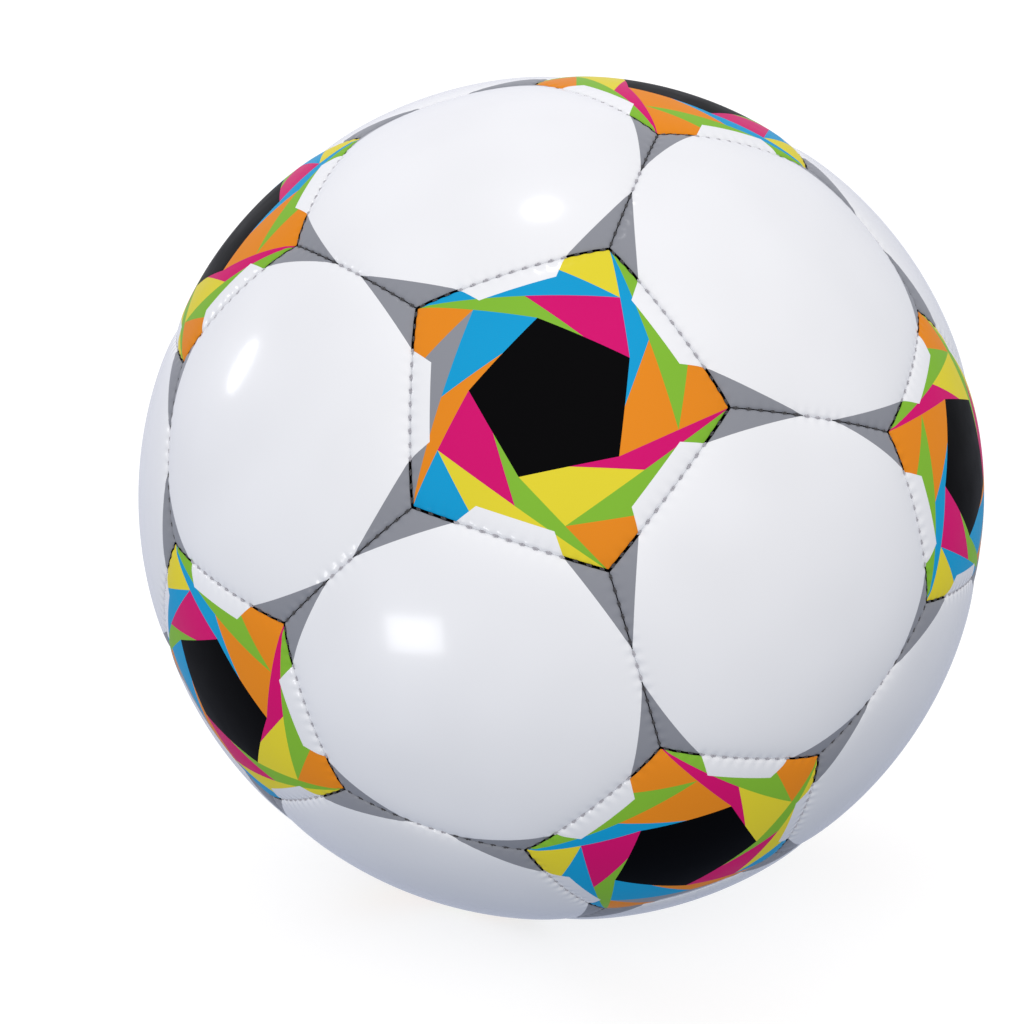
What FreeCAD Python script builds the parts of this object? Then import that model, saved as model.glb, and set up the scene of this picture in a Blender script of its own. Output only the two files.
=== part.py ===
import FreeCAD, Part
import math
import os

os.makedirs("parts", exist_ok=True)

# Size 5 soccer ball: a stitched cover of 12 pentagons and 20 hexagons over a bladder.
# Millimetres. Origin at the ball's centre, +Z up, front of the ball towards -Y.

Vector = FreeCAD.Vector

# Driving dimensions
BALL_R = 110.0  # at the crown of every panel, 691 mm round
FRONT_LIFT = 22.0  # degrees the front pentagon faces above level
CROWN = 0.9  # height of a panel's crown over the middle of its seams
SEAM_GAP = 0.4  # between the turned-in edges of two panels
EDGE_ROLL = 1.6  # radius of a panel's rolled edge
COVER = 1.1  # thickness of a cover panel
FOAM = 2.2  # thickness of a foam pad
GLUE = 0.05  # clearance between bonded layers
BLADDER_R = 104.6
BLADDER_WALL = 0.8
PENTAGON_SIDES = 5
HEXAGON_SIDES = 6

# Stitching
THREAD_R = 0.4
THREAD_TIP_R = 0.25
STITCH_TAPER = 0.35
STITCH_PITCH = 3.0
STITCH_LENGTH = 1.9
STITCH_DEPTH = 0.65  # thread centre below the middle of a seam

# Valve; its levels are measured from the ball's centre
VALVE_HEXAGON = 16  # number of the panel that holds the valve
PASSAGE_R = 4.1  # hole through the cover and the bladder
COLLAR_R = 4.0
COLLAR_TOP = BALL_R - 0.3
STEM_R = 5.4
STEM_END = 87.0
FLANGE_R = 13.0
FLANGE_WALL = 1.2
PATCH_R = 20.0
PATCH_WALL = 0.7
CORE_R = 2.5
CORE_END = 88.0
CORE_TOP = BALL_R - 0.4
CORE_HEAD_R = 3.1
CORE_HEAD = 1.1
RIB_R = 3.2  # rib that locks the core in its housing
RIB_LOW = 96.0
RIB_HIGH = 98.0
NEEDLE_R = 0.95
NEEDLE_END = 91.0  # the hole stops above the lips that close behind the needle
MOUTH_R = 1.6  # lead-in for the needle
MOUTH = 0.6

# Corner-to-corner chord of a seam on a truncated icosahedron
SEAM = BALL_R / (0.25 * math.sqrt(58 + 18 * math.sqrt(5)))

# Ends of cutting tools and of the wedges that panels are cut from
REACH = BALL_R + 10  # past the outside of the ball
WEDGE_FOOT = BALL_R / 2  # well inside the bladder
OVERCUT = 1.0  # how far a cut runs past the face it opens
TOUCH = 0.1  # an edge this near a ball lies on it


class PanelShape:
    """Angles and crown radius of a regular panel with a given number of sides."""

    def __init__(self, sides):
        self.sides = sides
        corner_reach = SEAM / (2 * math.sin(math.pi / sides))
        corner_angle = math.asin(corner_reach / BALL_R)
        self.wall_angle = math.atan(math.tan(corner_angle) * math.cos(math.pi / sides))
        self.crown_r = self.find_crown_radius()

    def find_crown_radius(self):
        """Radius of the bulged face that is CROWN lower above the middle of a seam."""
        seam_r = BALL_R - CROWN
        across = seam_r * math.sin(self.wall_angle)
        drop = BALL_R - seam_r * math.cos(self.wall_angle)
        return (across ** 2 + drop ** 2) / (2 * drop)


HEXAGON = PanelShape(HEXAGON_SIDES)
PENTAGON = PanelShape(PENTAGON_SIDES)


def icosahedron_corners():
    """Pentagon axes: the front one first, then two rings of five and the one behind."""
    lower = math.atan(2)
    corners = [Vector(0, 0, 1)]
    for polar, turn in ((lower, 0), (math.pi - lower, math.pi / 5)):
        for step in range(5):
            azimuth = turn + step * 2 * math.pi / 5
            corners.append(Vector(math.sin(polar) * math.cos(azimuth),
                                  math.sin(polar) * math.sin(azimuth),
                                  math.cos(polar)))
    corners.append(Vector(0, 0, -1))
    to_front = FreeCAD.Rotation(Vector(1, 0, 0), 90 - FRONT_LIFT)
    return [to_front.multVec(corner) for corner in corners]


AXES = icosahedron_corners()


def are_neighbours(i, j):
    return i != j and AXES[i].dot(AXES[j]) > 0


def seam_corner(i, j):
    """Unit vector to the panel corner near pentagon i on the line to pentagon j."""
    return (AXES[i] * 2 + AXES[j]).normalize()


def hexagon_triples():
    """Each hexagon as the three pentagons around it."""
    count = len(AXES)
    return [(i, j, k)
            for i in range(count) for j in range(i + 1, count) for k in range(j + 1, count)
            if are_neighbours(i, j) and are_neighbours(j, k) and are_neighbours(i, k)]


def facing(axis, corner):
    """Rotation that takes +Z to the axis and +X towards the corner."""
    side = axis.cross(corner).normalize()
    return FreeCAD.Rotation(side.cross(axis), side, axis, "ZXY")


def pentagon_rotations():
    rotations = []
    for i in range(len(AXES)):
        j = [other for other in range(len(AXES)) if are_neighbours(i, other)][0]
        rotations.append(facing(AXES[i], seam_corner(i, j)))
    return rotations


def hexagon_rotations():
    rotations = []
    for i, j, k in hexagon_triples():
        axis = (AXES[i] + AXES[j] + AXES[k]).normalize()
        rotations.append(facing(axis, seam_corner(i, j)))
    return rotations


def pentagon_seams():
    """Ends of the 60 seams between a pentagon and a hexagon."""
    seams = []
    for triple in hexagon_triples():
        for i in triple:
            j, k = [other for other in triple if other != i]
            seams.append((seam_corner(i, j), seam_corner(i, k)))
    return seams


def hexagon_seams():
    """Ends of the 30 seams between two hexagons."""
    count = len(AXES)
    return [(seam_corner(i, j), seam_corner(j, i))
            for i in range(count) for j in range(i + 1, count) if are_neighbours(i, j)]


def ball_of(radius, level=0.0):
    """Sphere centred on +Z at the level, with its poles and seam off the panel."""
    ball = Part.makeSphere(radius)
    ball.rotate(Vector(0, 0, 0), Vector(0, 1, 0), 90)
    ball.translate(Vector(0, 0, level))
    return ball


def polygon_at(panel, inset, height):
    """Corners of the panel's wedge at a height, its walls moved in by the inset."""
    tip = inset / math.sin(panel.wall_angle)
    inner_r = (height - tip) * math.tan(panel.wall_angle)
    corner_r = inner_r / math.cos(math.pi / panel.sides)
    turn = 2 * math.pi / panel.sides
    return [Vector(corner_r * math.cos(turn * n), corner_r * math.sin(turn * n), height)
            for n in range(panel.sides)]


def wedge(panel, inset):
    """Solid between the panel's seam planes, each moved in by the inset."""
    low = polygon_at(panel, inset, WEDGE_FOOT)
    high = polygon_at(panel, inset, REACH)
    faces = [Part.Face(Part.makePolygon(low + low[:1])),
             Part.Face(Part.makePolygon(high + high[:1]))]
    for n in range(panel.sides):
        m = (n + 1) % panel.sides
        wall = [low[n], low[m], high[m], high[n], low[n]]
        faces.append(Part.Face(Part.makePolygon(wall)))
    solid = Part.makeSolid(Part.makeShell(faces))
    if solid.Volume < 0:
        solid.reverse()
    return solid


def crown_ball(panel, depth):
    """Ball whose surface runs parallel to the panel's bulged face, below it."""
    return ball_of(panel.crown_r - depth, BALL_R - panel.crown_r)


def rolled_edges(block, radius, floor):
    """Round the edges that don't touch the ball of radius floor."""
    edges = []
    for edge in block.Edges:
        ends = [vertex.Point.Length for vertex in edge.Vertexes]
        if max(ends) > floor + TOUCH:
            edges.append(edge)
    return block.makeFillet(radius, edges)


def panel_block(panel, inset, depth, floor, roll):
    """Panel-shaped block from the bulged face down to a ball of radius floor."""
    block = wedge(panel, inset).common(crown_ball(panel, depth)).cut(ball_of(floor))
    return rolled_edges(block, roll, floor)


def cover_panel(panel):
    """Bulged skin with its edges turned in between the neighbours."""
    inset = SEAM_GAP / 2
    floor = BLADDER_R + GLUE
    outside = panel_block(panel, inset, 0, floor, EDGE_ROLL)
    inside = panel_block(panel, inset + COVER, COVER, floor - OVERCUT, EDGE_ROLL - COVER)
    return outside.cut(inside)


def foam_pad(panel):
    top = COVER + GLUE
    inset = SEAM_GAP / 2 + COVER + GLUE
    slab = wedge(panel, inset).common(crown_ball(panel, top))
    slab = slab.cut(crown_ball(panel, top + FOAM))
    return rolled_edges(slab, EDGE_ROLL - COVER, BALL_R - CROWN - top - FOAM)


def lining(panel):
    top = COVER + FOAM + 2 * GLUE
    inset = SEAM_GAP / 2 + COVER + GLUE
    slab = wedge(panel, inset).common(crown_ball(panel, top))
    return slab.cut(ball_of(BLADDER_R + GLUE))


def stitch():
    """Short length of thread along X, thinner where it enters the needle holes."""
    half = STITCH_LENGTH / 2
    shoulder = half - STITCH_TAPER
    outline = [Vector(-half, 0, 0), Vector(-half, 0, THREAD_TIP_R), Vector(-shoulder, 0, THREAD_R),
               Vector(shoulder, 0, THREAD_R), Vector(half, 0, THREAD_TIP_R), Vector(half, 0, 0)]
    profile = Part.Face(Part.makePolygon(outline + outline[:1]))
    return profile.revolve(Vector(0, 0, 0), Vector(1, 0, 0), 360)


def stitched(seams):
    """A row of stitches along every seam, as one group of solids."""
    one = stitch()
    level = BALL_R - CROWN - STITCH_DEPTH
    stitches = []
    for start, end in seams:
        side = start.cross(end).normalize()
        along = side.cross(start)
        sweep = start.getAngle(end)
        count = round(sweep * level / STITCH_PITCH)
        for n in range(count):
            angle = sweep * (n + 0.5) / count
            up = start * math.cos(angle) + along * math.sin(angle)
            turn = FreeCAD.Rotation(side.cross(up), side, up, "ZXY")
            copy = one.copy()
            copy.Placement = FreeCAD.Placement(up * level, turn)
            stitches.append(copy)
    return Part.makeCompound(stitches)


def rod(radius, low, high):
    """Round bar on +Z between two levels."""
    return Part.makeCylinder(radius, high - low, Vector(0, 0, low))


def bladder():
    shell = ball_of(BLADDER_R).cut(ball_of(BLADDER_R - BLADDER_WALL))
    return shell.cut(rod(PASSAGE_R, STEM_END, REACH))


def bladder_valve_patch():
    top = BLADDER_R - BLADDER_WALL - GLUE
    disc = ball_of(top).cut(ball_of(top - PATCH_WALL))
    disc = disc.common(rod(PATCH_R, STEM_END, REACH))
    return disc.cut(rod(PASSAGE_R, STEM_END, REACH))


def valve_housing():
    """Collar through the cover, flange under the patch and stem inside the bladder."""
    top = BLADDER_R - BLADDER_WALL - PATCH_WALL - 2 * GLUE
    flange = ball_of(top).cut(ball_of(top - FLANGE_WALL))
    flange = flange.common(rod(FLANGE_R, STEM_END, REACH))
    stem = rod(STEM_R, STEM_END, top - FLANGE_WALL / 2)
    collar = rod(COLLAR_R, STEM_END, COLLAR_TOP)
    body = flange.fuse([stem, collar]).removeSplitter()
    passage = rod(CORE_R + GLUE, STEM_END - OVERCUT, REACH)
    seat = rod(CORE_HEAD_R + GLUE, CORE_TOP - CORE_HEAD - GLUE, REACH)
    groove = rod(RIB_R + GLUE, RIB_LOW - GLUE, RIB_HIGH + GLUE)
    return body.cut(passage.fuse([seat, groove]))


def valve_core():
    """Plug with a locking rib and a needle hole that is closed at its inner end."""
    plug = rod(CORE_R, CORE_END, CORE_TOP)
    head = rod(CORE_HEAD_R, CORE_TOP - CORE_HEAD, CORE_TOP)
    rib = rod(RIB_R, RIB_LOW, RIB_HIGH)
    needle_hole = rod(NEEDLE_R, NEEDLE_END, CORE_TOP)
    mouth = Part.makeCone(NEEDLE_R, MOUTH_R, MOUTH, Vector(0, 0, CORE_TOP - MOUTH))
    return plug.fuse([head, rib]).removeSplitter().cut(needle_hole.fuse(mouth))


def turned(shape, rotation):
    copy = shape.copy()
    copy.Placement = FreeCAD.Placement(Vector(0, 0, 0), rotation)
    return copy


def with_passage(shape):
    """Cut the valve's hole through a layer of the cover."""
    return shape.cut(rod(PASSAGE_R, STEM_END, REACH))


def save(name, shape):
    shape.exportStep("parts/" + name + ".step")


def save_layer(name, shape, rotations, pierced=None):
    """One group with a copy of the layer behind every panel of a kind."""
    copies = []
    for number, rotation in enumerate(rotations, 1):
        layer = with_passage(shape) if number == pierced else shape
        copies.append(turned(layer, rotation))
    save(name, Part.makeCompound(copies))


def save_covers(name, shape, rotations, pierced=None):
    for number, rotation in enumerate(rotations, 1):
        cover = with_passage(shape) if number == pierced else shape
        save("%s_%02d" % (name, number), turned(cover, rotation))


hexagons = hexagon_rotations()
pentagons = pentagon_rotations()
save_covers("panel_hexagon", cover_panel(HEXAGON), hexagons, VALVE_HEXAGON)
save_covers("panel_pentagon", cover_panel(PENTAGON), pentagons)
save_layer("foam_pads_hexagon", foam_pad(HEXAGON), hexagons, VALVE_HEXAGON)
save_layer("foam_pads_pentagon", foam_pad(PENTAGON), pentagons)
save_layer("lining_hexagon", lining(HEXAGON), hexagons, VALVE_HEXAGON)
save_layer("lining_pentagon", lining(PENTAGON), pentagons)
save("pentagon_seam_thread", stitched(pentagon_seams()))
save("hexagon_seam_thread", stitched(hexagon_seams()))

valve_turn = hexagons[VALVE_HEXAGON - 1]
save("bladder", turned(bladder(), valve_turn))
save("bladder_valve_patch", turned(bladder_valve_patch(), valve_turn))
save("valve_housing", turned(valve_housing(), valve_turn))
save("valve_core", turned(valve_core(), valve_turn))
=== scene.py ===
import math

import bpy
import numpy as np
from mathutils import Matrix, Vector
from mathutils.geometry import delaunay_2d_cdt


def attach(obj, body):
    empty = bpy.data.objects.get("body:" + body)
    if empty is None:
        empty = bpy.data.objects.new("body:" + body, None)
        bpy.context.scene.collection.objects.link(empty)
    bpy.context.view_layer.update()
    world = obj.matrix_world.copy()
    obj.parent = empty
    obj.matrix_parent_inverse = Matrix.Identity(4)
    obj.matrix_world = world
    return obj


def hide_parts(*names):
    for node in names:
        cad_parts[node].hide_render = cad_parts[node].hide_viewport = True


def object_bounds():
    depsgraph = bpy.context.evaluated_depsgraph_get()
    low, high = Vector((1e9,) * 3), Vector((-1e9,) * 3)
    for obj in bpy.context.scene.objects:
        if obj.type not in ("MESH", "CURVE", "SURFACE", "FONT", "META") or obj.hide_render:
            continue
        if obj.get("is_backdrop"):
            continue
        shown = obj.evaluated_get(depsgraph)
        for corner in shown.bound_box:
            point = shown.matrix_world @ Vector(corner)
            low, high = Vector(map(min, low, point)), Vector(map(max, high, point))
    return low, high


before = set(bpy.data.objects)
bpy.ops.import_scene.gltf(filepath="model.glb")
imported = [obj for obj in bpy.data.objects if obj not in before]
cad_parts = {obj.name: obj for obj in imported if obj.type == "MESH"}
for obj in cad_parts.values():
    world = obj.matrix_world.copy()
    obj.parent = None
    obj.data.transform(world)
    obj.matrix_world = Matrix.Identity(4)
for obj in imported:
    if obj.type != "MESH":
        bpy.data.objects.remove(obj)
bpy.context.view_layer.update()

# Looks of a size 5 soccer ball with 12 pentagon and 20 hexagon panels.
# Shapes are worked out in millimetres about the ball's centre and scaled to metres.
MM = 0.001

# The ball, as in the CAD model
BALL_R = 110.0
FRONT_LIFT = math.radians(22)
SEAM_CHORD = BALL_R / (0.25 * math.sqrt(58 + 18 * math.sqrt(5)))
SEAM_SWEEP = 2 * math.asin(SEAM_CHORD / BALL_R / 2)

# Valve, as in the CAD model; its levels are measured from the ball's centre
VALVE_HEXAGON = 16
PASSAGE_R = 4.1
COLLAR_R = 4.0
COLLAR_TOP = BALL_R - 0.3
STEM_R = 5.4
STEM_END = 87.0
FLANGE_R = 13.0
FLANGE_TOP_R = 103.0
FLANGE_WALL = 1.2
CORE_R = 2.5
CORE_END = 88.0
CORE_TOP = BALL_R - 0.4
CORE_HEAD_R = 3.1
CORE_HEAD = 1.1
RIB_R = 3.2
RIB_LOW = 96.0
RIB_HIGH = 98.0
NEEDLE_R = 0.95
NEEDLE_END = 91.0
MOUTH_R = 1.6
MOUTH = 0.6
VALVE_FIT = 0.05
VALVE_ROUNDING = 0.3
ROUND_SEGMENTS = 72

# Panel shape: a slight bulge, and a softer fall near the seams
CROWN = 0.45
PILLOW = 0.7
PILLOW_REACH = 3.6

# Panel edges
SEAM_GAP = 0.04
EDGE_ROLL = 0.9
ROLL_FULLNESS = 0.85
SKIRT_END = 105.5
DIMPLE = 0.24
DIMPLE_REACH = 1.7
LIP_ROLL = 0.35

# Panel triangles: loops at shares of the rolled edge and at depths inside it, then an even grid
ROLL_LOOPS = (1, 0.96, 0.88, 0.77, 0.63, 0.47, 0.3, 0.12)
INNER_LOOPS = (0.25, 0.9, 1.7)
EDGE_STEP = 0.62
GRID_STEP = 1.9
GRID_CLEARANCE = 2.6

# Stitches: their spacing and depth, and the two plies of each
STITCH_PITCH = 3.0
STITCHES_PER_SEAM = round(SEAM_SWEEP * BALL_R / STITCH_PITCH)
STITCH_LENGTH = 1.5
STITCH_SINK = 0.42
STITCH_DIVE = 0.75
PLY_R = 0.26
PLY_TAPER = 0.25
PLY_TURN_R = 0.2
PLY_HALF_TURNS = 1.15

# Print along the seams: the share of a seam's length at each end, and the width of the black strip
# there, which is painted shade of the seam's groove
PENTAGON_SEAM_PRINT = 0.23
HEXAGON_SEAM_PRINT = 0.41
PENTAGON_SEAM_SHADE = 0.36
HEXAGON_SEAM_SHADE = 0.14

# Print on the panels: bow of the grey corners, white bars, black core, and where shards divide
CORNER_BOW = 0.12
BAR_DEPTH = 5.2
BAR_SLANT = 0.08
CORE_REACH = 0.46
CORE_TURN = math.radians(-42)
SIDE_SPLIT = 0.36
BLADE_SPLIT = 0.45

# Inks: name, colour and gloss coat
WHITE, GREY, BLACK_PRINT_AND_SEAM_SHADE, GREEN, BLUE, ORANGE, MAGENTA, YELLOW = range(8)
INKS = {
    WHITE: ("cover_white", (0.75, 0.775, 0.82), 1.0),
    GREY: ("ink_grey", (0.232, 0.246, 0.283), 0.2),
    # Black prints the pentagons' cores, and is also painted shade along the seams' printed ends
    BLACK_PRINT_AND_SEAM_SHADE: ("ink_black", (0.002, 0.002, 0.0025), 0.02),
    GREEN: ("ink_green", (0.2, 0.445, 0.038), 0.04),
    BLUE: ("ink_blue", (0.008, 0.305, 0.6), 0.04),
    ORANGE: ("ink_orange", (0.71, 0.232, 0.016), 0.04),
    MAGENTA: ("ink_magenta", (0.58, 0.007, 0.148), 0.04),
    YELLOW: ("ink_yellow", (0.69, 0.603, 0.036), 0.04),
}

# Room light: a level that rises towards the upper front, and a glow from behind
ROOM_DIRECTION = (0.16, -0.75, 0.64)
ROOM_LEVEL = (0.54, 0.55, 0.59)
ROOM_SLOPE = (0.89, 0.83, 0.75)
BACK_DIRECTION = (-0.35, 1, -0.12)
BACK_GLOW = (0.86, 0.82, 0.81)

# Softboxes, one for each highlight: direction, distance, width, height, radiance and shape
SOFTBOXES = {
    "softbox_top": ((-0.05, -0.09, 1.0), 1.3, 0.17, 0.17, 9, "ELLIPSE"),
    "softbox_left": ((-0.935, 0.185, 0.36), 1.2, 0.1, 0.22, 9, "ELLIPSE"),
    "softbox_front": ((-0.148, -0.25, -0.089), 0.31, 0.067, 0.042, 5.5, "RECTANGLE"),
}

# Camera: distance in ball radii, and the ball's radius as a share of the frame
CAMERA_DISTANCE = 4.6
CAMERA_AZIMUTH = math.radians(0.9)
CAMERA_ELEVATION = math.radians(11)
CAMERA_SHIFT = (-0.049, -0.0137)
BALL_IN_FRAME = 0.414
SENSOR_WIDTH = 36


# ---------------------------------------------------------------- layout of the panels

def unit(vector):
    return vector / np.linalg.norm(vector)


def pentagon_axes():
    """Axes of the 12 pentagons in the frame's order."""
    lower = math.atan(2)
    axes = [(0, 0, 1)]
    for polar, turn in ((lower, 0), (math.pi - lower, math.pi / 5)):
        for step in range(5):
            azimuth = turn + step * 2 * math.pi / 5
            axes.append((math.sin(polar) * math.cos(azimuth),
                         math.sin(polar) * math.sin(azimuth),
                         math.cos(polar)))
    axes.append((0, 0, -1))
    to_front = Matrix.Rotation(math.pi / 2 - FRONT_LIFT, 3, "X")
    return [np.array(to_front @ Vector(axis)) for axis in axes]


AXES = pentagon_axes()
PENTAGONS = range(len(AXES))


def are_neighbours(i, j):
    return i != j and AXES[i].dot(AXES[j]) > 0


def seam_corner(i, j):
    """Corner on the edge from pentagon i's axis to pentagon j's, nearer to i."""
    return unit(2 * AXES[i] + AXES[j])


def hexagon_triples():
    """Each hexagon as the three pentagons around it, anticlockwise from outside."""
    triples = []
    for i in PENTAGONS:
        for j in PENTAGONS[i + 1:]:
            for k in PENTAGONS[j + 1:]:
                if are_neighbours(i, j) and are_neighbours(j, k) and are_neighbours(i, k):
                    left_handed = np.linalg.det([AXES[i], AXES[j], AXES[k]]) < 0
                    triples.append((i, k, j) if left_handed else (i, j, k))
    return triples


TRIPLES = hexagon_triples()


def turn_to(axis, corner):
    """Matrix that takes +Z to the axis and +X towards the corner."""
    side = unit(np.cross(axis, corner))
    return np.column_stack([np.cross(side, axis), side, axis])


def pentagon_turn(i):
    neighbour = [j for j in PENTAGONS if are_neighbours(i, j)][0]
    return turn_to(AXES[i], seam_corner(i, neighbour))


def hexagon_turn(triple):
    i, j, k = triple
    return turn_to(unit(AXES[i] + AXES[j] + AXES[k]), seam_corner(i, j))


# ---------------------------------------------------------------- shape of a panel

class Panel:
    """A regular panel, drawn flat on the plane that touches the ball at its crown."""

    def __init__(self, sides):
        self.sides = sides
        self.half_turn = math.pi / sides
        corner_angle = math.asin(SEAM_CHORD / (2 * math.sin(self.half_turn)) / BALL_R)
        self.wall_angle = math.atan(math.tan(corner_angle) * math.cos(self.half_turn))
        self.seam_reach = BALL_R * math.tan(self.wall_angle)
        self.corner_reach = BALL_R * math.tan(corner_angle)
        stretch = 1 / math.cos(self.wall_angle) ** 2
        self.band = EDGE_ROLL * stretch
        self.inset_reach = self.seam_reach - SEAM_GAP / 2 * stretch - self.band
        seam_r = BALL_R - CROWN
        across = seam_r * math.sin(self.wall_angle)
        drop = BALL_R - seam_r * math.cos(self.wall_angle)
        self.crown_r = (across ** 2 + drop ** 2) / (2 * drop)

    def corner(self, k, reach=None):
        angle = 2 * self.half_turn * k
        reach = self.corner_reach if reach is None else reach
        return np.array([reach * math.cos(angle), reach * math.sin(angle)])

    def in_sector(self, flat):
        """Distance out towards the nearest side and distance along it from its middle."""
        angle = np.arctan2(flat[:, 1], flat[:, 0])
        reach = np.hypot(flat[:, 0], flat[:, 1])
        local = np.mod(angle, 2 * self.half_turn) - self.half_turn
        return reach * np.cos(local), reach * np.sin(local)

    def edge_share(self, flat):
        """0 on the panel's face, rising to 1 where its rolled edge meets the seam."""
        out, along = self.in_sector(flat)
        half_side = self.inset_reach * math.tan(self.half_turn)
        beyond = np.maximum(out - self.inset_reach, 0)
        past_corner = np.maximum(np.abs(along) - half_side, 0) * (beyond > 0)
        return np.hypot(beyond, past_corner) / self.band

    def face_radius(self, flat):
        """Radius of the padded face above points of the drawing, before its edges roll."""
        cosine = BALL_R / np.sqrt(BALL_R ** 2 + (flat ** 2).sum(axis=1))
        centre = BALL_R - self.crown_r
        bulge = centre * cosine + np.sqrt(self.crown_r ** 2 - centre ** 2 * (1 - cosine ** 2))
        angles = self.half_turn * (2 * np.arange(self.sides) + 1)
        outs = flat @ np.array([np.cos(angles), np.sin(angles)])
        fall = np.exp(-2 * (self.seam_reach - outs) / PILLOW_REACH).sum(axis=1)
        return bulge - PILLOW * np.sqrt(np.minimum(fall, 2))

    def seam_level(self, seam_angle):
        """Radius of the face at its seam, at an angle from the seam's middle."""
        along = BALL_R * math.tan(seam_angle) / math.cos(self.wall_angle)
        middle = np.array([math.cos(self.half_turn), math.sin(self.half_turn)])
        across = np.array([-middle[1], middle[0]])
        return self.face_radius(np.array([middle * self.seam_reach + across * along]))[0]

    def stitch_pull(self, flat):
        """How far each stitch pulls the face in, near the seams."""
        out, along = self.in_sector(flat)
        seam_angle = np.arctan2(along * math.cos(self.wall_angle), BALL_R)
        beat = (seam_angle / SEAM_SWEEP + 0.5) * STITCHES_PER_SEAM
        pull = 0.5 - 0.5 * np.cos(2 * math.pi * beat)
        pull *= np.abs(seam_angle) < SEAM_SWEEP / 2
        return DIMPLE * pull * np.exp(-((self.seam_reach - out) / DIMPLE_REACH) ** 2)

    def surface(self, flat, hole):
        """Points of the outer face above points of the flat drawing."""
        rays = np.column_stack([flat, np.full(len(flat), BALL_R)])
        rays /= np.linalg.norm(rays, axis=1)[:, None]
        radius = self.face_radius(flat)
        radius -= rolled(np.minimum(self.edge_share(flat), 1), EDGE_ROLL)
        radius -= self.stitch_pull(flat)
        if hole:
            lip = (hole + LIP_ROLL - np.hypot(flat[:, 0], flat[:, 1])) / LIP_ROLL
            radius -= rolled(np.clip(lip, 0, 1), LIP_ROLL)
        return rays * radius[:, None]

    def normals(self, flat, hole):
        """Directions square to the outer face, from small steps on the drawing."""
        step = 0.02
        # At the outer rim, the steps are taken a little inside it
        shrink = 1 - 2 * step / np.maximum(np.hypot(flat[:, 0], flat[:, 1]), 1)
        flat = flat * np.where(self.edge_share(flat) > 0.9, shrink, 1)[:, None]
        east = self.surface(flat + (step, 0), hole) - self.surface(flat - (step, 0), hole)
        north = self.surface(flat + (0, step), hole) - self.surface(flat - (0, step), hole)
        upright = np.cross(east, north)
        return upright / np.linalg.norm(upright, axis=1)[:, None]


def rolled(share, roll):
    """Drop of a rolled edge, from none at share 0 to nearly the whole roll at share 1."""
    return roll * (1 - np.sqrt(1 - (ROLL_FULLNESS * share) ** 2))


PENTAGON = Panel(5)
HEXAGON = Panel(6)


# ---------------------------------------------------------------- print

def between(a, b, share):
    return a + (b - a) * share


def closed_pairs(outline):
    """Each point of a closed outline with the one after it."""
    return zip(outline, outline[1:] + outline[:1])


def corner_patch(panel, k):
    """Grey corner of a hexagon, cut off by a line that bows towards the corner."""
    tip = panel.corner(k)
    shares = [HEXAGON_SEAM_PRINT, PENTAGON_SEAM_PRINT]
    start = between(tip, panel.corner(k + 1), shares[k % 2])
    end = between(tip, panel.corner(k - 1), shares[(k + 1) % 2])
    control = between((start + end) / 2, tip, CORNER_BOW)
    steps = 12
    bow = [between(between(start, control, n / steps), between(control, end, n / steps), n / steps)
           for n in range(steps + 1)]
    past_tip = 1.05
    return bow + [tip * past_tip]


def painted_seam_shade(first, second, share, width):
    """Black strip along the first part of a side: painted shade of the seam's groove."""
    outward = unit(first + second)
    stop = between(first, second, share)
    return [first + outward, stop + outward, stop - outward * width, first - outward * width]


def painted_seam_shades(panel, k, share, width):
    """Painted seam shade: black strips along both ends of the side that follows corner k."""
    first, second = panel.corner(k), panel.corner(k + 1)
    return [(painted_seam_shade(first, second, share, width), BLACK_PRINT_AND_SEAM_SHADE),
            (painted_seam_shade(second, first, share, width), BLACK_PRINT_AND_SEAM_SHADE)]


def hexagon_print(panel):
    """Grey corners on a white panel, with painted seam shade at their seams, as (outline, ink) in
    painting order.
    """
    shapes = [(corner_patch(panel, k), GREY) for k in range(panel.sides)]
    # Black strips along each seam's printed ends are painted shade of the seam's groove
    for k in range(0, panel.sides, 2):
        shapes += painted_seam_shades(panel, k, HEXAGON_SEAM_PRINT, HEXAGON_SEAM_SHADE)
        shapes += painted_seam_shades(panel, k + 1, PENTAGON_SEAM_PRINT, PENTAGON_SEAM_SHADE)
    return shapes


def side_bar(panel, k):
    """White bar along the middle of a pentagon's side."""
    first, second = panel.corner(k), panel.corner(k + 1)
    outward = unit(first + second)
    start, end = PENTAGON_SEAM_PRINT, 1 - PENTAGON_SEAM_PRINT
    return [between(first, second, start) + outward, between(first, second, start),
            between(first, second, start + BAR_SLANT) - outward * BAR_DEPTH,
            between(first, second, end - BAR_SLANT) - outward * BAR_DEPTH,
            between(first, second, end), between(first, second, end) + outward]


def shards(panel, k, inks):
    """The four shards between a side of the pentagon and a side of its core."""
    core_r = CORE_REACH * panel.corner_reach
    core_a, core_b = (core_r * np.array([math.cos(angle), math.sin(angle)])
                      for angle in (CORE_TURN + n * 2 * panel.half_turn for n in (k, k + 1)))
    corner_a, corner_b = panel.corner(k), panel.corner(k + 1)
    blade_middle = between(core_a, corner_a, 0.5)
    core_middle = between(core_a, core_b, 0.5)
    side_split = between(corner_a, corner_b, SIDE_SPLIT)
    blade_split = between(blade_middle, corner_b, BLADE_SPLIT)
    outlines = [[blade_middle, corner_a, side_split],
                [blade_middle, side_split, corner_b],
                [core_a, blade_middle, blade_split, core_middle],
                [core_middle, blade_split, corner_b, core_b]]
    return list(zip(outlines, inks))


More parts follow.
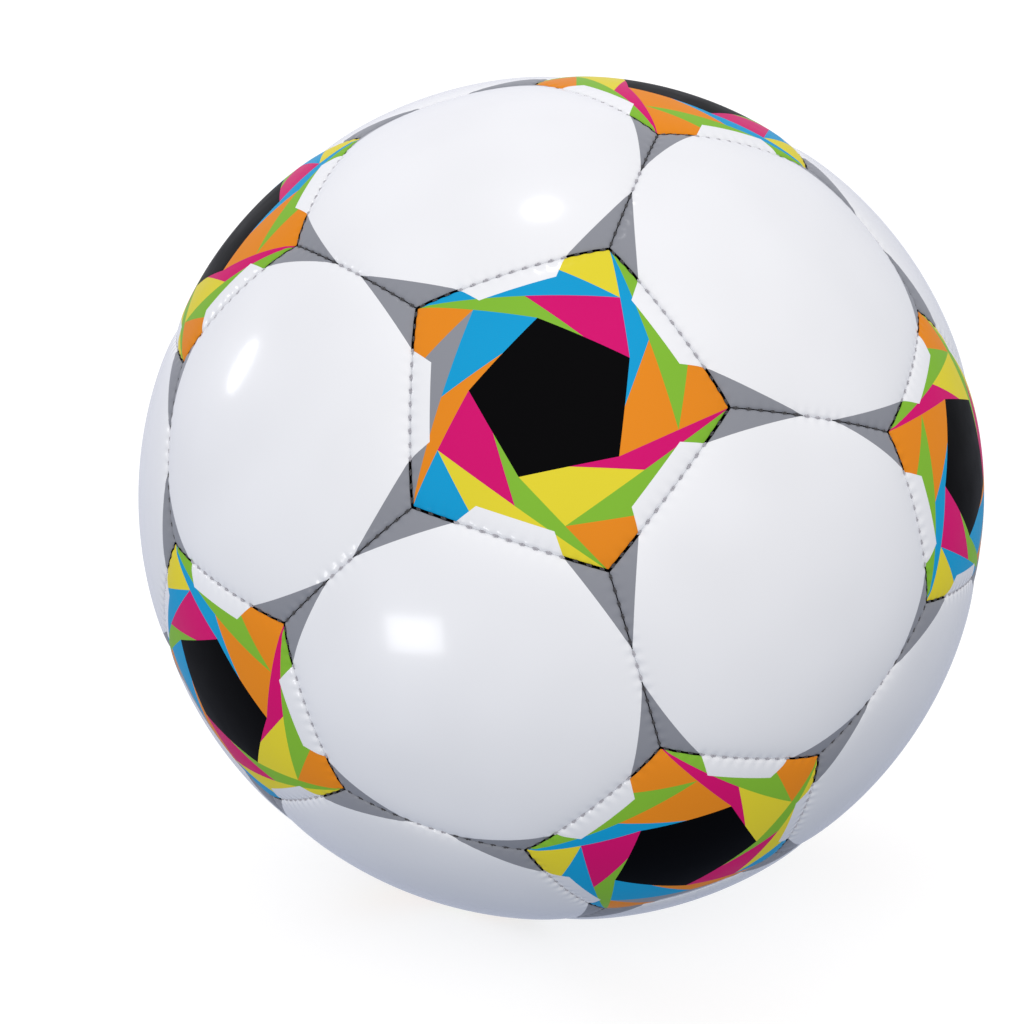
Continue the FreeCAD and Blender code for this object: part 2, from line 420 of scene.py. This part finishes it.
def pentagon_print(panel):
    """Twisted ring of coloured shards round a black core, with white bars on the sides and painted seam
    shade at their ends.
    """
    side_inks = [(ORANGE, GREEN, ORANGE, BLUE), (YELLOW, BLUE, MAGENTA, GREEN),
                 (ORANGE, GREY, BLUE, ORANGE), (BLUE, YELLOW, MAGENTA, GREEN),
                 (ORANGE, GREEN, YELLOW, MAGENTA)]
    shapes = []
    for k, inks in enumerate(side_inks):
        shapes += shards(panel, k, inks)
    for k in range(panel.sides):
        shapes.append((side_bar(panel, k), WHITE))
        # Black strips along each side's printed ends are painted shade of the seam's groove
        shapes += painted_seam_shades(panel, k, PENTAGON_SEAM_PRINT, PENTAGON_SEAM_SHADE)
    return shapes


def inside(outline, points):
    """Which points lie inside a closed outline."""
    least_rise = 1e-9
    found = np.zeros(len(points), bool)
    for a, b in closed_pairs(outline):
        crosses = (a[1] > points[:, 1]) != (b[1] > points[:, 1])
        rise = b[1] - a[1]
        rise = rise if abs(rise) > least_rise else least_rise
        where = a[0] + (points[:, 1] - a[1]) * (b[0] - a[0]) / rise
        found ^= crosses & (points[:, 0] < where)
    return found


# ---------------------------------------------------------------- meshes

def mesh_object(name, points, faces, materials, slots=None):
    """Smooth object from points in metres, with a material slot for each face."""
    mesh = bpy.data.meshes.new(name)
    mesh.from_pydata(np.asarray(points).tolist(), [], faces)
    mesh.polygons.foreach_set("use_smooth", np.ones(len(faces), bool))
    if slots is not None:
        mesh.polygons.foreach_set("material_index", np.asarray(slots, np.int32))
    for material in materials:
        mesh.materials.append(material)
    mesh.update()
    obj = bpy.data.objects.new(name, mesh)
    bpy.context.scene.collection.objects.link(obj)
    return obj


def divided(a, b, step):
    """Points from a towards b, without b, about a step apart."""
    count = max(1, round(np.linalg.norm(b - a) / step))
    return [between(a, b, n / count) for n in range(count)]


def circle(radius, count):
    turn = 2 * math.pi / count
    return [np.array([radius * math.cos(n * turn), radius * math.sin(n * turn)])
            for n in range(count)]


def offset_loop(panel, offset):
    """Closed loop at an offset outside (or inside, if negative) the inset polygon."""
    reach = panel.inset_reach + min(offset, 0)
    radius = max(offset, 0)
    corner_steps = 6
    points = []
    for k in range(panel.sides):
        first = panel.corner(k, reach / math.cos(panel.half_turn))
        second = panel.corner(k + 1, reach / math.cos(panel.half_turn))
        outward = unit(first + second)
        if radius:
            before = 2 * panel.half_turn * (k - 0.5)
            for n in range(1, corner_steps):
                angle = before + 2 * panel.half_turn * n / corner_steps
                points.append(first + radius * np.array([math.cos(angle), math.sin(angle)]))
        count = round(np.linalg.norm(second - first) / EDGE_STEP)
        last = count + 1 if radius else count
        for n in range(last):
            points.append(between(first, second, n / count) + radius * outward)
    return points


def grid_points(panel):
    """Evenly spaced points over the face, clear of the loops near its edge."""
    row_step = GRID_STEP * math.sqrt(3) / 2
    rows = int(panel.corner_reach / row_step) + 1
    points = []
    for row in range(-rows, rows + 1):
        shift = GRID_STEP / 2 if row % 2 else 0
        for column in range(-rows, rows + 1):
            points.append((column * GRID_STEP + shift, row * row_step))
    points = np.array(points)
    out, _ = panel.in_sector(points)
    return list(points[out < panel.inset_reach - GRID_CLEARANCE])


def panel_loops(panel, shapes, hole):
    """Closed loops that a panel's triangles follow: its edges, its print and its hole."""
    loops = [offset_loop(panel, share * panel.band) for share in ROLL_LOOPS]
    loops += [offset_loop(panel, -depth) for depth in INNER_LOOPS]
    for outline, _ in shapes:
        loops.append([point for a, b in closed_pairs(outline) for point in divided(a, b, GRID_STEP)])
    if hole:
        loops += [circle(hole + out, ROUND_SEGMENTS) for out in (0, 0.1, LIP_ROLL, 2 * LIP_ROLL)]
    return loops


def panel_triangles(panel, loops, hole):
    """Points of the flat drawing, the triangles over them, and each triangle's middle."""
    points = []
    lines = []
    for loop in loops:
        start, count = len(points), len(loop)
        points.extend(loop)
        lines.extend((start + n, start + (n + 1) % count) for n in range(count))
    points.extend(grid_points(panel))
    merge_distance = 1e-5
    verts, _, faces, _, _, _ = delaunay_2d_cdt([Vector(p) for p in points], lines, [], 0, merge_distance)
    flat = np.array([v[:] for v in verts])
    faces = np.array([f for f in faces if len(f) == 3])
    centres = flat[faces].mean(axis=1)
    kept = panel.edge_share(centres) < 1
    kept &= np.hypot(centres[:, 0], centres[:, 1]) > hole
    used, faces = np.unique(faces[kept], return_inverse=True)
    return flat[used], faces.reshape(-1, 3), centres[kept]


class PanelMesh:
    """Triangles of one kind of panel, with an ink for each."""

    def __init__(self, panel, ground, shapes, hole=0.0):
        flat, self.faces, centres = panel_triangles(panel, panel_loops(panel, shapes, hole), hole)
        self.inks = np.full(len(centres), ground)
        for outline, ink in shapes:
            self.inks[inside(outline, centres)] = ink
        self.points = panel.surface(flat, hole)
        self.normals = panel.normals(flat, hole)
        self.add_skirt()

    def add_skirt(self):
        """Turn the open edges in towards the bladder, as the sewn flange."""
        owners = {}
        for number, (a, b, c) in enumerate(self.faces):
            for edge in ((a, b), (b, c), (c, a)):
                owners[edge] = number
        edges = [edge for edge in owners if edge[::-1] not in owners]
        rim = sorted({vertex for edge in edges for vertex in edge})
        below = {vertex: len(self.points) + n for n, vertex in enumerate(rim)}
        tops = self.points[rim]
        feet = tops * (SKIRT_END / np.linalg.norm(tops, axis=1))[:, None]
        walls, inks = [], []
        for a, b in edges:
            walls += [(a, below[a], b), (b, below[a], below[b])]
            inks += [self.inks[owners[(a, b)]]] * 2
        self.points = np.vstack([self.points, feet])
        self.normals = np.vstack([self.normals, self.normals[rim]])
        self.faces = np.vstack([self.faces, walls])
        self.inks = np.concatenate([self.inks, inks])

    def build(self, name, turn, materials):
        used, slots = np.unique(self.inks, return_inverse=True)
        inked = [materials[ink] for ink in used]
        obj = mesh_object(name, self.points @ turn.T * MM, self.faces.tolist(), inked, slots)
        obj.data.normals_split_custom_set_from_vertices((self.normals @ turn.T).tolist())
        return obj


# ---------------------------------------------------------------- node materials

class Surface:
    """A node material with its shader and a few ways to drive it."""

    def __init__(self, name, roughness, coat=0.0, coat_roughness=0.1, specular=0.5, sheen=0.0):
        self.material = bpy.data.materials.new(name)
        self.material.use_nodes = True
        self.tree = self.material.node_tree
        self.shader = self.tree.nodes["Principled BSDF"]
        self.shader.inputs["Roughness"].default_value = roughness
        self.shader.inputs["Coat Weight"].default_value = coat
        self.shader.inputs["Coat Roughness"].default_value = coat_roughness
        self.shader.inputs["Specular IOR Level"].default_value = specular
        self.shader.inputs["Sheen Weight"].default_value = sheen
        self.place = self.node("ShaderNodeTexCoord").outputs["Object"]
        self.bump_chain = None

    def node(self, kind, **settings):
        made = self.tree.nodes.new(kind)
        for name, value in settings.items():
            setattr(made, name, value)
        return made

    def link(self, source, target):
        self.tree.links.new(source, target)

    def noise(self, size_mm, detail=2.0):
        """Noise whose features are about size_mm across."""
        made = self.node("ShaderNodeTexNoise")
        made.inputs["Scale"].default_value = 1 / (size_mm * MM)
        made.inputs["Detail"].default_value = detail
        self.link(self.place, made.inputs["Vector"])
        return made.outputs["Fac"]

    def cells(self, size_mm):
        """Rounded cells about size_mm across."""
        made = self.node("ShaderNodeTexVoronoi")
        made.inputs["Scale"].default_value = 1 / (size_mm * MM)
        self.link(self.place, made.inputs["Vector"])
        return made.outputs["Distance"]

    def spread(self, noise, low, high):
        """The middle part of a noise's range, spread from low to high."""
        made = self.node("ShaderNodeMapRange")
        made.inputs["From Min"].default_value = 0.3
        made.inputs["From Max"].default_value = 0.7
        made.inputs["To Min"].default_value = low
        made.inputs["To Max"].default_value = high
        self.link(noise, made.inputs["Value"])
        return made.outputs["Result"]

    def mix(self, share, first, second):
        made = self.node("ShaderNodeMix", data_type="RGBA")
        self.link(share, made.inputs["Factor"])
        made.inputs["A"].default_value = (*first, 1)
        made.inputs["B"].default_value = (*second, 1)
        return made.outputs["Result"]

    def colour(self, source):
        self.link(source, self.shader.inputs["Base Color"])

    def roughness(self, source):
        self.link(source, self.shader.inputs["Roughness"])

    def bump(self, height, depth_mm):
        """Add a layer of relief, depth_mm deep."""
        made = self.node("ShaderNodeBump")
        made.inputs["Strength"].default_value = 1
        made.inputs["Distance"].default_value = depth_mm * MM
        self.link(height, made.inputs["Height"])
        if self.bump_chain is not None:
            self.link(self.bump_chain, made.inputs["Normal"])
        self.bump_chain = made.outputs["Normal"]
        self.link(self.bump_chain, self.shader.inputs["Normal"])


def scaled(colour, factor):
    return tuple(min(1.0, channel * factor) for channel in colour)


def cover_material(name, ink, coat):
    """Glossy coated cover with a faint grain, printed in one ink."""
    surface = Surface(name, roughness=0.4, coat=coat, coat_roughness=0.14, specular=0.4 * coat)
    tone = surface.spread(surface.noise(30, detail=1), 0, 1)
    surface.colour(surface.mix(tone, scaled(ink, 0.975), scaled(ink, 1.02)))
    surface.roughness(surface.spread(surface.noise(8), 0.36, 0.44))
    surface.bump(surface.noise(26, detail=0), 0.1)
    surface.bump(surface.noise(0.45, detail=1), 0.002)
    return surface.material


def thread_material(name, dark, light):
    """Slightly fuzzy thread."""
    surface = Surface(name, roughness=0.5, sheen=0.2)
    surface.colour(surface.mix(surface.noise(0.5), dark, light))
    surface.roughness(surface.spread(surface.noise(0.8), 0.45, 0.7))
    surface.bump(surface.noise(0.16, detail=3), 0.03)
    return surface.material


def foam_material():
    """Matt foam with small closed cells."""
    surface = Surface("closed_cell_foam", roughness=0.9)
    surface.colour(surface.mix(surface.noise(2.5), (0.72, 0.69, 0.6), (0.84, 0.81, 0.72)))
    surface.roughness(surface.spread(surface.noise(4), 0.82, 0.97))
    surface.bump(surface.cells(0.6), 0.12)
    return surface.material


def lining_material():
    """Plain weave in the three directions of the frame."""
    surface = Surface("textile_lining", roughness=0.85, sheen=0.3)
    heights = []
    for direction in ("X", "Y", "Z"):
        wave = surface.node("ShaderNodeTexWave", bands_direction=direction)
        wave.inputs["Scale"].default_value = 1 / (6.5 * MM)
        wave.inputs["Distortion"].default_value = 0.4
        surface.link(surface.place, wave.inputs["Vector"])
        heights.append(wave.outputs["Fac"])
    surface.colour(surface.mix(surface.noise(3), (0.62, 0.59, 0.5), (0.76, 0.73, 0.65)))
    surface.roughness(surface.spread(surface.noise(2), 0.78, 0.95))
    for height in heights:
        surface.bump(height, 0.08)
    return surface.material


def rubber_material(name, dark, light):
    """Moulded rubber with a fine grain."""
    surface = Surface(name, roughness=0.5)
    surface.colour(surface.mix(surface.noise(6, detail=3), dark, light))
    surface.roughness(surface.spread(surface.noise(3, detail=3), 0.42, 0.62))
    surface.bump(surface.noise(0.9), 0.02)
    return surface.material


def backdrop_material():
    """Pale paper that glows evenly, so that it stays white."""
    surface = Surface("pale_backdrop", roughness=0.8, specular=0.1)
    surface.colour(surface.mix(surface.noise(180), (0.3, 0.3, 0.303), (0.32, 0.32, 0.32)))
    surface.shader.inputs["Emission Color"].default_value = (1, 1, 1, 1)
    surface.shader.inputs["Emission Strength"].default_value = 0.76
    return surface.material


# ---------------------------------------------------------------- the cover

def show(piece, node):
    """Show a piece in place of its CAD node."""
    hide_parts(node)
    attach(piece, "root")


def add_cover():
    materials = [cover_material(*INKS[ink]) for ink in sorted(INKS)]
    hexagon_mesh = PanelMesh(HEXAGON, WHITE, hexagon_print(HEXAGON))
    valve_hexagon_mesh = PanelMesh(HEXAGON, WHITE, hexagon_print(HEXAGON), hole=PASSAGE_R)
    pentagon_mesh = PanelMesh(PENTAGON, BLACK_PRINT_AND_SEAM_SHADE, pentagon_print(PENTAGON))
    for number, triple in enumerate(TRIPLES, 1):
        shape = valve_hexagon_mesh if number == VALVE_HEXAGON else hexagon_mesh
        panel = shape.build("cover_hexagon_%02d" % number, hexagon_turn(triple), materials)
        show(panel, "panel_hexagon_%02d" % number)
    for number, i in enumerate(PENTAGONS, 1):
        panel = pentagon_mesh.build("cover_pentagon_%02d" % number, pentagon_turn(i), materials)
        show(panel, "panel_pentagon_%02d" % number)


# ---------------------------------------------------------------- the stitches

def ply(start, first_twist):
    """Points and faces of one ply of a stitch, whose first point has the number start."""
    sides, rings = 6, 9
    points, faces = [], []
    for ring in range(rings):
        s = 2 * ring / (rings - 1) - 1
        twist = math.pi * (PLY_HALF_TURNS * s + first_twist)
        middle = np.array([s * STITCH_LENGTH / 2,
                           PLY_TURN_R * math.cos(twist),
                           PLY_TURN_R * math.sin(twist) - STITCH_DIVE * abs(s) ** 3])
        slope = math.atan(-3 * STITCH_DIVE * s * abs(s) / (STITCH_LENGTH / 2))
        up = np.array([-math.sin(slope), 0, math.cos(slope)])
        across = np.array([0, 1, 0])
        radius = PLY_R * (1 - PLY_TAPER * s * s)
        for n in range(sides):
            angle = 2 * math.pi * n / sides
            points.append(middle + radius * (math.cos(angle) * across + math.sin(angle) * up))
    for ring in range(rings - 1):
        for n in range(sides):
            m = (n + 1) % sides
            low, high = start + ring * sides, start + (ring + 1) * sides
            faces.append((low + n, low + m, high + m, high + n))
    last = start + (rings - 1) * sides
    faces.append(tuple(start + n for n in reversed(range(sides))))
    faces.append(tuple(last + n for n in range(sides)))
    return points, faces


def stitch_template():
    """Two plies twisted round each other, diving at both ends."""
    points, faces = ply(0, 0)
    more_points, more_faces = ply(len(points), 1)
    return np.array(points + more_points), faces + more_faces


def placed_stitch(template, start, end, angle, level, random):
    """A stitch at an angle along its seam, with a little unevenness."""
    side = unit(np.cross(start, end))
    up = start * math.cos(angle) + np.cross(side, start) * math.sin(angle)
    lean = random.uniform(-0.1, 0.1)
    along = np.cross(side, up) * math.cos(lean) + side * math.sin(lean)
    turn = np.column_stack([along, np.cross(up, along), up])
    size = random.uniform(0.94, 1.04)
    height = level - STITCH_SINK + random.uniform(-0.05, 0.04)
    return (template * (size, 1, 1)) @ turn.T + up * height


def stitch_piece(name, seams, printed_share, materials, random):
    """Every stitch of one kind of seam, as one piece, dark where the seam is printed."""
    template, template_faces = stitch_template()
    points, faces, slots = [], [], []
    for start, end, panels in seams:
        for n in range(STITCHES_PER_SEAM):
            angle = SEAM_SWEEP * (n + 0.5) / STITCHES_PER_SEAM
            levels = [panel.seam_level(angle - SEAM_SWEEP / 2) for panel in panels]
            offset = len(points) * len(template)
            points.append(placed_stitch(template, start, end, angle, sum(levels) / len(levels), random))
            faces.extend(tuple(offset + v for v in face) for face in template_faces)
            from_end = min(n + 0.5, STITCHES_PER_SEAM - n - 0.5) / STITCHES_PER_SEAM
            slots.extend([0 if from_end < printed_share else 1] * len(template_faces))
    return mesh_object(name, np.vstack(points) * MM, faces, materials, slots)


def panel_seams():
    """Seams of both kinds, each with its ends and the kinds of panel that meet there."""
    with_pentagon, with_hexagon = [], {}
    for i, j, k in TRIPLES:
        for a, b, c in ((i, j, k), (j, k, i), (k, i, j)):
            with_pentagon.append((seam_corner(a, b), seam_corner(a, c), (PENTAGON, HEXAGON)))
            ends = (min(a, b), max(a, b))
            with_hexagon[ends] = (seam_corner(*ends), seam_corner(*ends[::-1]), (HEXAGON,))
    return with_pentagon, [with_hexagon[ends] for ends in sorted(with_hexagon)]


def add_stitches():
    random = np.random.default_rng(5)
    threads = [thread_material("thread_dark", (0.02, 0.02, 0.024), (0.055, 0.055, 0.065)),
               thread_material("thread_pale", (0.33, 0.33, 0.37), (0.45, 0.45, 0.5))]
    kinds = ("pentagon", "hexagon")
    shares = (PENTAGON_SEAM_PRINT, HEXAGON_SEAM_PRINT)
    for kind, seams, share in zip(kinds, panel_seams(), shares):
        stitches = stitch_piece(kind + "_seam_stitches", seams, share, threads, random)
        show(stitches, kind + "_seam_thread")


# ---------------------------------------------------------------- the valve and the hidden layers

def rounded(profile, closed):
    """Soften the corners of a profile of (radius, level) points."""
    corners = [np.array(point) for point in profile]
    loop = corners[-1:] + corners + corners[:1] if closed else corners
    steps = 4
    made = []
    for before, corner, after in zip(loop, loop[1:], loop[2:]):
        lengths = [np.linalg.norm(before - corner), np.linalg.norm(after - corner)]
        reach = min([VALVE_ROUNDING] + [length / 3 for length in lengths])
        start = between(corner, before, reach / lengths[0])
        end = between(corner, after, reach / lengths[1])
        made.append(between(start, before, reach / lengths[0] / 4))
        for n in range(steps + 1):
            share = n / steps
            made.append(between(between(start, corner, share), between(corner, end, share), share))
        made.append(between(end, after, reach / lengths[1] / 4))
    return made if closed else corners[:1] + made + corners[-1:]


def lathe(name, profile, turn, material, closed):
    """Turned part from a profile that runs up its outside and down its inside."""
    count = len(profile)
    segments = ROUND_SEGMENTS
    points = np.array([[(r * math.cos(2 * math.pi * n / segments),
                         r * math.sin(2 * math.pi * n / segments), level) for n in range(segments)]
                       for r, level in profile])
    faces = []
    for ring in range(count if closed else count - 1):
        low, high = ring * segments, (ring + 1) % count * segments
        for n in range(segments):
            m = (n + 1) % segments
            faces.append((low + n, low + m, high + m, high + n))
    if not closed:
        faces.append(tuple(reversed(range(segments))))
        faces.append(tuple((count - 1) * segments + n for n in range(segments)))
    return mesh_object(name, points.reshape(-1, 3) @ turn.T * MM, faces, [material])


def shell_line(radius, start, end):
    """Profile points along a sphere about the ball's centre."""
    count = 7
    return [(r, math.sqrt(radius ** 2 - r ** 2)) for r in np.linspace(start, end, count)]


def valve_housing(turn):
    """Rubber stem, flange and collar round the passage that holds the core."""
    seat_r, bore_r, groove_r = (r + VALVE_FIT for r in (CORE_HEAD_R, CORE_R, RIB_R))
    seat = CORE_TOP - CORE_HEAD - VALVE_FIT
    outside = [(STEM_R, STEM_END)] + shell_line(FLANGE_TOP_R - FLANGE_WALL, STEM_R, FLANGE_R)
    outside += shell_line(FLANGE_TOP_R, FLANGE_R, COLLAR_R) + [(COLLAR_R, COLLAR_TOP)]
    inside = [(seat_r, COLLAR_TOP), (seat_r, seat), (bore_r, seat),
              (bore_r, RIB_HIGH + VALVE_FIT), (groove_r, RIB_HIGH + VALVE_FIT),
              (groove_r, RIB_LOW - VALVE_FIT), (bore_r, RIB_LOW - VALVE_FIT), (bore_r, STEM_END)]
    material = rubber_material("valve_rubber", (0.016, 0.016, 0.017), (0.03, 0.03, 0.031))
    return lathe("valve_collar", rounded(outside + inside, True), turn, material, True)


def valve_core(turn):
    """Softer rubber plug with a locking rib and a funnel to the needle hole."""
    outside = [(CORE_R, CORE_END), (CORE_R, RIB_LOW), (RIB_R, RIB_LOW), (RIB_R, RIB_HIGH),
               (CORE_R, RIB_HIGH), (CORE_R, CORE_TOP - CORE_HEAD),
               (CORE_HEAD_R, CORE_TOP - CORE_HEAD), (CORE_HEAD_R, CORE_TOP)]
    inside = [(MOUTH_R, CORE_TOP), (NEEDLE_R, CORE_TOP - MOUTH), (NEEDLE_R, NEEDLE_END)]
    material = rubber_material("valve_core_rubber", (0.045, 0.045, 0.046), (0.075, 0.075, 0.076))
    return lathe("valve_plug", rounded(outside + inside, False), turn, material, False)


def add_valve():
    turn = hexagon_turn(TRIPLES[VALVE_HEXAGON - 1])
    show(valve_housing(turn), "valve_housing")
    show(valve_core(turn), "valve_core")


def finish_hidden_layers():
    """Give the CAD nodes that stay under the cover their materials."""
    foam, lining = foam_material(), lining_material()
    bladder = rubber_material("bladder_rubber", (0.03, 0.03, 0.032), (0.06, 0.06, 0.062))
    patch = rubber_material("patch_rubber", (0.07, 0.07, 0.072), (0.11, 0.11, 0.112))
    layers = {"foam_pads_hexagon": foam, "foam_pads_pentagon": foam,
              "lining_hexagon": lining, "lining_pentagon": lining,
              "bladder": bladder, "bladder_valve_patch": patch}
    for name, material in layers.items():
        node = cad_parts[name]
        node.data.materials.clear()
        node.data.materials.append(material)


# ---------------------------------------------------------------- stage, lights and camera

def add_backdrop(level):
    """Round floor under the ball that sweeps up into a wall all the way round."""
    flat_reach, bend_r, wall_height, segments = 2.2, 1.0, 3.0, 96
    flat_rings, bend_rings = 20, 12
    flat = [(flat_reach * (n / flat_rings) ** 2, 0) for n in range(1, flat_rings + 1)]
    bend = [(flat_reach + bend_r * math.sin(a), bend_r * (1 - math.cos(a)))
            for a in (math.pi / 2 * n / bend_rings for n in range(1, bend_rings + 1))]
    profile = flat + bend + [(flat_reach + bend_r, wall_height)]
    points, faces = [(0, 0, level)], []
    for radius, height in profile:
        for n in range(segments):
            angle = 2 * math.pi * n / segments
            points.append((radius * math.cos(angle), radius * math.sin(angle), level + height))
    for n in range(segments):
        m = (n + 1) % segments
        faces.append((0, 1 + n, 1 + m))
        for ring in range(len(profile) - 1):
            low, high = 1 + ring * segments, 1 + (ring + 1) * segments
            faces.append((low + n, high + n, high + m, low + m))
    backdrop = mesh_object("backdrop", points, faces, [backdrop_material()])
    backdrop.visible_diffuse = False
    backdrop.visible_glossy = False
    backdrop.visible_shadow = False
    backdrop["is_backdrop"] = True


def aim(obj, position, target):
    obj.location = position
    obj.rotation_euler = (Vector(target) - Vector(position)).to_track_quat("-Z", "Y").to_euler()
    bpy.context.scene.collection.objects.link(obj)


def add_softbox(name, direction, distance, width, height, radiance, shape):
    """Lamp that faces the ball from a direction."""
    light = bpy.data.lights.new(name, "AREA")
    light.shape = shape
    light.size = width
    light.size_y = height
    area = width * height * (math.pi / 4 if shape == "ELLIPSE" else 1)
    light.energy = radiance * math.pi * area
    obj = bpy.data.objects.new(name, light)
    aim(obj, Vector(direction).normalized() * distance, (0, 0, 0))
    obj.visible_camera = False


def add_world():
    """Soft room light that rises evenly from one side to the other, with a glow behind."""
    world = bpy.data.worlds.new("studio")
    world.use_nodes = True
    tree = world.node_tree
    place = tree.nodes.new("ShaderNodeTexCoord")

    def facing(direction):
        """How squarely a point of the sky lies in a direction, from -1 to 1."""
        made = tree.nodes.new("ShaderNodeVectorMath")
        made.operation = "DOT_PRODUCT"
        made.inputs[1].default_value = Vector(direction).normalized()
        tree.links.new(place.outputs["Generated"], made.inputs[0])
        return made.outputs["Value"]

    def multiply_add(value, colour):
        """Node that multiplies a value by a colour; its third input is added."""
        made = tree.nodes.new("ShaderNodeVectorMath")
        made.operation = "MULTIPLY_ADD"
        made.inputs[1].default_value = colour
        tree.links.new(value, made.inputs[0])
        return made

    room = multiply_add(facing(ROOM_DIRECTION), ROOM_SLOPE)
    room.inputs[2].default_value = ROOM_LEVEL
    behind = tree.nodes.new("ShaderNodeMath")
    behind.operation = "MAXIMUM"
    behind.inputs[1].default_value = 0
    tree.links.new(facing(BACK_DIRECTION), behind.inputs[0])
    total = multiply_add(behind.outputs["Value"], BACK_GLOW)
    tree.links.new(room.outputs["Vector"], total.inputs[2])
    background = tree.nodes["Background"]
    background.inputs["Strength"].default_value = 1
    tree.links.new(total.outputs["Vector"], background.inputs["Color"])
    bpy.context.scene.world = world


def add_camera():
    """Long lens, a little above the ball's centre."""
    camera = bpy.data.cameras.new("camera")
    camera.sensor_width = SENSOR_WIDTH
    camera.lens = BALL_IN_FRAME * SENSOR_WIDTH * math.sqrt(CAMERA_DISTANCE ** 2 - 1)
    camera.shift_x, camera.shift_y = CAMERA_SHIFT
    camera.clip_end = 50
    direction = Vector((math.sin(CAMERA_AZIMUTH) * math.cos(CAMERA_ELEVATION),
                        -math.cos(CAMERA_AZIMUTH) * math.cos(CAMERA_ELEVATION),
                        math.sin(CAMERA_ELEVATION)))
    obj = bpy.data.objects.new("camera", camera)
    aim(obj, direction * CAMERA_DISTANCE * BALL_R * MM, (0, 0, 0))
    bpy.context.scene.camera = obj


add_cover()
add_stitches()
add_valve()
finish_hidden_layers()

add_backdrop(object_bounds()[0][2])
add_world()
for name, softbox in SOFTBOXES.items():
    add_softbox(name, *softbox)
add_camera()
bpy.context.scene.view_settings.view_transform = "Standard"
